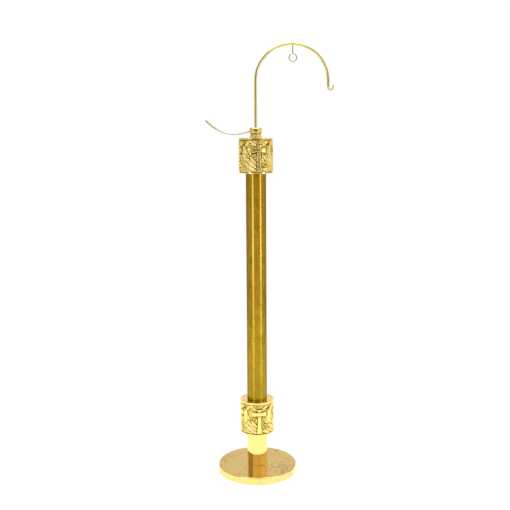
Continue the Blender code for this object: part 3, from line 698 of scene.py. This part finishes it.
# boss: foot, waist, seat for the ring
FOOT_Z, SHOULDER = UPPER_Z1 + GAP, RING_Z0 - 1.3
boss = rounded([(0.0, 985.0), (5.1, 985.0), (5.1, 960.0), (11.0, 960.0), (11.0, FOOT_Z), (19.0, FOOT_Z),
                (19.0, FOOT_Z + 4.2), (16.6, FOOT_Z + 5.8), (16.0, FOOT_Z + 8.0), (16.0, SHOULDER - 2.4),
                (16.8, SHOULDER - 0.9), (16.8, SHOULDER), (CORE_R, SHOULDER), (CORE_R, CORE_Z1), (8.0, CORE_Z1),
                (8.0, 1041.2), (6.4, 1041.2), (6.4, 988.0), (0.0, 988.0)],
               (0, 0.2, 0.3, 1.0, 0, 0.5, 1.6, 1.2, 1.2, 1.0, 0.3, 0.3, 0, 0.5, 0.2, 0, 0.2, 0, 0), 6)
attach(turn("boss", boss, 128), "stand", ["top_boss"], GOLD_BOSS)

cap = rounded([(4.3, 1041.5), (7.7, 1041.5), (7.7, CORE_Z1 + GAP), (16.0, CORE_Z1 + GAP), (16.0, CORE_Z1 + 2.4),
               (14.6, CORE_Z1 + 3.5), (7.5, CORE_Z1 + 3.5), (4.3, CORE_Z1 + 2.9)], (0.2, 0.3, 0, 0.3, 0.8, 0.8, 0.8, 0.3), 5)
attach(turn("boss_cap", cap, 96), "stand", ["retaining_cap"], GOLD_BOSS)

ring = [(CORE_R + GAP, RING_Z0 + 0.2), (CORE_R + GAP + 0.2, RING_Z0), (RING_R - 3.0, RING_Z0)]
ring += fillet(RING_R - 4.2, RING_Z0 + 4.4, 4.2, -62.0, 0.0, 10)
ring += fillet(RING_R - 4.2, RING_Z1 - 4.4, 4.2, 0.0, 62.0, 10)
ring += [(RING_R - 3.0, RING_Z1), (16.5, RING_Z1), (16.3, RING_Z1 - 0.2), (16.3, CORE_Z1), (CORE_R + GAP, CORE_Z1)]
bead_ring = drilled(turn("bead_ring", ring, 128), 2.72, (-21.0, 0.0, ARM_Z), 12.0, "X")
attach(bead_ring, "side_arm", ["arm_ring"], GOLD_BOSS)

# side arm
arm = [(-15.4, ARM_Z, ARM_R), (-17.5, ARM_Z, ARM_R), (-20.2, ARM_Z, ARM_R)]
arm_ctrl = [(-20.2, ARM_Z, ARM_R), (-31.0, 1036.9, ARM_R), (-46.0, 1033.2, ARM_R), (-65.0, 1031.5, ARM_R),
            (-85.0, 1034.0, ARM_R), (-105.0, 1041.6, ARM_R), (-127.0, 1055.0, ARM_R), (-145.6, 1071.2, ARM_R)]
arm += smooth_path(arm_ctrl, 16)[1:]
attach(sweep("boat_rod", dome(arm, ARM_R, 2.3), 24), "side_arm", ["boat_arm"], ARM)

# crook: straight rod, half-circle arch, tapered J hook
path = [(0.0, CROOK_Z0, CROOK_R - 0.8), (0.0, CROOK_Z0 + 0.8, CROOK_R)]
path += [(0.0, z, CROOK_R) for z in np.arange(1000.0, ARCH_Z, 12.0)]
for i in range(121):
    a = math.pi - math.pi * i / 120
    path.append((ARCH_R + ARCH_R * math.cos(a), ARCH_Z + ARCH_R * math.sin(a), CROOK_R))
LEG_X = 2 * ARCH_R
hook_ctrl = [(LEG_X, ARCH_Z, CROOK_R), (LEG_X, LEG_Z, CROOK_R * 0.97), (LEG_X + 0.9, 1163.2, 3.5),
             (LEG_X + 3.2, 1158.8, 3.1), (LEG_X + 7.0, 1157.0, 2.8), (LEG_X + 10.6, 1158.9, 2.55),
             (LEG_X + 13.2, 1162.9, 2.35), (LEG_X + 15.0, 1167.2, 2.15), (LEG_X + 16.2, 1170.4, 2.0)]
path += smooth_path(hook_ctrl, 10)[1:]
crook = drilled(sweep("crook_rod_fine", dome(path, 2.0, 1.3), 36), 1.72, (HOOK_X, 0.0, ARCH_Z + ARCH_R - 5.2), 13.6)
attach(crook, "crook_rod", ["crook"], ROD)

# loop hook: stem and open loop
wire = [(HOOK_X, ARCH_Z + ARCH_R + 1.2, HOOK_WIRE), (HOOK_X, 1280.9, HOOK_WIRE), (HOOK_X, 1274.9, HOOK_WIRE),
        (HOOK_X, 1269.9, HOOK_WIRE), (HOOK_X, 1266.4, HOOK_WIRE), (HOOK_X + 0.1, 1263.5, HOOK_WIRE)]
loop = []
for i in range(97):
    a = math.radians(82.0 - 318.0 * i / 96)
    loop.append((HOOK_X + 0.9 + HOOK_LOOP_R * math.cos(a), HOOK_LOOP_Z + HOOK_LOOP_R * math.sin(a), HOOK_WIRE))
bend = smooth_path([wire[-2], wire[-1], (HOOK_X + 0.75, 1261.5, HOOK_WIRE), loop[2], loop[5]], 4)
wire = wire[:-2] + bend + loop[6:]
attach(sweep("loop_hook_wire", dome(wire, HOOK_WIRE, 1.2), 20), "loop_hook", ["swivel_hook"], HOOK)

# pieces inside keep their solids and get their finish
for node, mat in (("ballast_plate", IRON), ("bottom_washer", STEEL), ("spring_washer", STEEL), ("bottom_nut", STEEL),
                  ("tie_rod", THREAD), ("neck_foot_spigot", TURNED), ("neck_top_spigot", TURNED),
                  ("column_bottom_plug", TURNED), ("column_top_plug", TURNED), ("crook_bush", NYLON),
                  ("friction_washer", FIBRE)):
    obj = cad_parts[node]
    obj.data.materials.clear()
    obj.data.materials.append(mat)

# ------------------------------------------------------------------ floor, studio, camera
floor_mesh = bpy.data.meshes.new("floor")
S, NEAR, WIDE = 60.0, -3.2, 1.5
floor_mesh.from_pydata([(-WIDE, NEAR, 0), (WIDE, NEAR, 0), (WIDE, S, 0), (-WIDE, S, 0)], [], [(0, 1, 2, 3)])
floor = bpy.data.objects.new("floor", floor_mesh)
bpy.context.scene.collection.objects.link(floor)
fmat, fnt, fb = node_material("pale_floor")
fb.inputs["Base Color"].default_value = (0.40, 0.40, 0.40, 1.0)
fb.inputs["Roughness"].default_value = 0.9
fb.inputs["Specular IOR Level"].default_value = 0.1
fb.inputs["Emission Color"].default_value = (1.0, 1.0, 1.0, 1.0)
fb.inputs["Emission Strength"].default_value = 0.98
flat_white = add(fnt, "ShaderNodeEmission")
flat_white.inputs["Color"].default_value = (1.0, 1.0, 1.0, 1.0)
flat_white.inputs["Strength"].default_value = 1.0
seen = add(fnt, "ShaderNodeLightPath")
either = add(fnt, "ShaderNodeMixShader")
fout = next(n for n in fnt.nodes if n.bl_idname == "ShaderNodeOutputMaterial")
fnt.links.new(seen.outputs["Is Camera Ray"], either.inputs[0])
fnt.links.new(fb.outputs[0], either.inputs[1])
fnt.links.new(flat_white.outputs[0], either.inputs[2])
fnt.links.new(either.outputs[0], fout.inputs["Surface"])
floor_mesh.materials.append(fmat)

world = bpy.data.worlds.new("studio")
bpy.context.scene.world = world
world.use_nodes = True
wnt = world.node_tree
wnt.nodes.clear()
out = add(wnt, "ShaderNodeOutputWorld")
tc = add(wnt, "ShaderNodeTexCoord")
sep = add(wnt, "ShaderNodeSeparateXYZ")
wnt.links.new(tc.outputs["Generated"], sep.inputs[0])
X, Y, Z = sep.outputs["X"], sep.outputs["Y"], sep.outputs["Z"]
# behind the stand: bright low down, dimmer higher up; in front: a room, darkest straight ahead
back = math_node(wnt, "ADD", 1.15, math_node(wnt, "ADD", maprange(wnt, Z, 0.10, 0.30, 0.0, -0.20),
                                             maprange(wnt, Z, 0.335, 0.375, 0.0, -0.225)))
front = math_node(wnt, "ADD", 0.18, math_node(wnt, "ADD", maprange(wnt, X, -0.80, -0.30, 0.54, 0.0),
                                              maprange(wnt, X, 0.30, 0.80, 0.0, 0.72)))
level = math_node(wnt, "MULTIPLY", maprange(wnt, Z, -0.052, -0.044, 0.0, 1.0), maprange(wnt, Z, 0.12, 0.30, 1.0, 0.0))
below = math_node(wnt, "ADD", 0.50, maprange(wnt, Z, -0.16, -0.06, 0.26, 0.0))
streak = math_node(wnt, "MULTIPLY", maprange(wnt, X, -0.95, -0.90, 0.0, 1.0), maprange(wnt, X, -0.82, -0.70, 1.0, 0.0))
above = math_node(wnt, "ADD", math_node(wnt, "ADD", 0.68, math_node(wnt, "MULTIPLY", streak, -0.36)),
                  maprange(wnt, X, 0.35, 0.85, 0.0, 0.14))
rest = math_node(wnt, "ADD", math_node(wnt, "MULTIPLY", below, maprange(wnt, Z, -0.04, 0.10, 1.0, 0.0)),
                 math_node(wnt, "MULTIPLY", above, maprange(wnt, Z, -0.04, 0.10, 0.0, 1.0)))
near = math_node(wnt, "ADD", math_node(wnt, "MULTIPLY", front, level),
                 math_node(wnt, "MULTIPLY", rest, math_node(wnt, "SUBTRACT", 1.0, level)))
side = maprange(wnt, Y, 0.66, 0.88, 0.0, 1.0)
env = math_node(wnt, "ADD", math_node(wnt, "MULTIPLY", back, side),
                math_node(wnt, "MULTIPLY", near, math_node(wnt, "SUBTRACT", 1.0, side)))
path_node = add(wnt, "ShaderNodeLightPath")
lit = math_node(wnt, "ADD", math_node(wnt, "MULTIPLY", env, math_node(wnt, "SUBTRACT", 1.0, path_node.outputs["Is Camera Ray"])),
                math_node(wnt, "MULTIPLY", 1.0, path_node.outputs["Is Camera Ray"]))
bg = add(wnt, "ShaderNodeBackground")
bg.inputs["Color"].default_value = (1.0, 1.0, 1.0, 1.0)
wnt.links.new(lit, bg.inputs["Strength"])
wnt.links.new(bg.outputs[0], out.inputs["Surface"])


def area(name, loc, target, sx, sy, power, colour=(1.0, 1.0, 1.0)):
    light = bpy.data.lights.new(name, "AREA")
    light.shape = "RECTANGLE"
    light.size, light.size_y = sx, sy
    light.energy = power
    light.color = colour
    obj = bpy.data.objects.new(name, light)
    bpy.context.scene.collection.objects.link(obj)
    obj.location = loc
    d = Vector(target) - Vector(loc)
    obj.rotation_euler = d.to_track_quat("-Z", "Y").to_euler()
    obj.visible_camera = False
    return obj


def glow(name, corners, strength, colour=(1.0, 1.0, 1.0)):
    """A flat soft box made of an emitting sheet that the camera doesn't see."""
    mesh = bpy.data.meshes.new(name)
    mesh.from_pydata(corners, [], [(0, 1, 2, 3)])
    obj = bpy.data.objects.new(name, mesh)
    bpy.context.scene.collection.objects.link(obj)
    mat, nt, bsdf = node_material(name)
    bsdf.inputs["Base Color"].default_value = (0.0, 0.0, 0.0, 1.0)
    bsdf.inputs["Roughness"].default_value = 1.0
    bsdf.inputs["Specular IOR Level"].default_value = 0.0
    bsdf.inputs["Emission Color"].default_value = (colour[0], colour[1], colour[2], 1.0)
    bsdf.inputs["Emission Strength"].default_value = strength
    mesh.materials.append(mat)
    obj.visible_camera = False
    obj.visible_shadow = False
    return obj


def strip(name, azimuth, dist, width, z0, z1, strength, colour=(1.0, 1.0, 1.0)):
    """A tall soft box, at an azimuth measured from the -Y direction towards +X, facing the stand."""
    a = math.radians(azimuth)
    x, y = dist * math.sin(a), -dist * math.cos(a)
    tx, ty = math.cos(a) * width / 2, math.sin(a) * width / 2
    return glow(name, [(x - tx, y - ty, z0), (x + tx, y + ty, z0), (x + tx, y + ty, z1), (x - tx, y - ty, z1)], strength, colour)


COOL = (0.94, 0.98, 1.25)
PALE = (0.96, 1.0, 1.95)
strip("strip_left", -38.0, 3.0, 0.98, 0.02, 0.84, 4.0, PALE)
strip("strip_right", 52.5, 3.0, 0.92, 0.02, 0.84, 4.2, PALE)


def floor_strip(name, azimuth, d0, d1, w0, w1, strength):
    a = math.radians(azimuth)
    ux, uy = math.sin(a), -math.cos(a)
    glow(name, [(ux * d0 - uy * w0, uy * d0 + ux * w0, 0.004), (ux * d0 + uy * w0, uy * d0 - ux * w0, 0.004),
                (ux * d1 + uy * w1, uy * d1 - ux * w1, 0.004), (ux * d1 - uy * w1, uy * d1 + ux * w1, 0.004)], strength, COOL)


floor_strip("strip_floor_left", -38.0, 0.86, 2.95, 0.130, 0.43, 1.9)
floor_strip("strip_floor_right", 52.5, 0.86, 2.95, 0.130, 0.42, 1.65)
area("overhead", (0.0, 0.1, 3.2), (0.0, 0.0, 0.0), 2.4, 2.4, 32.0)

cam_data = bpy.data.cameras.new("camera")
cam_data.sensor_width = 36.0
cam_data.lens = 55.4
cam_data.clip_end = 200.0
cam = bpy.data.objects.new("camera", cam_data)
bpy.context.scene.collection.objects.link(cam)
PITCH_DOWN, ROLL, YAW = 8.65, -0.33, 0.100
rot = (Matrix.Rotation(math.radians(YAW), 4, "Z") @ Matrix.Rotation(math.radians(90.0 - PITCH_DOWN), 4, "X")
       @ Matrix.Rotation(math.radians(ROLL), 4, "Z"))
cam.matrix_world = Matrix.Translation((0.0, -2.322, 1.028)) @ rot
bpy.context.scene.camera = cam
bpy.context.scene.view_settings.view_transform = "Standard"
bpy.context.scene.view_settings.look = "None"
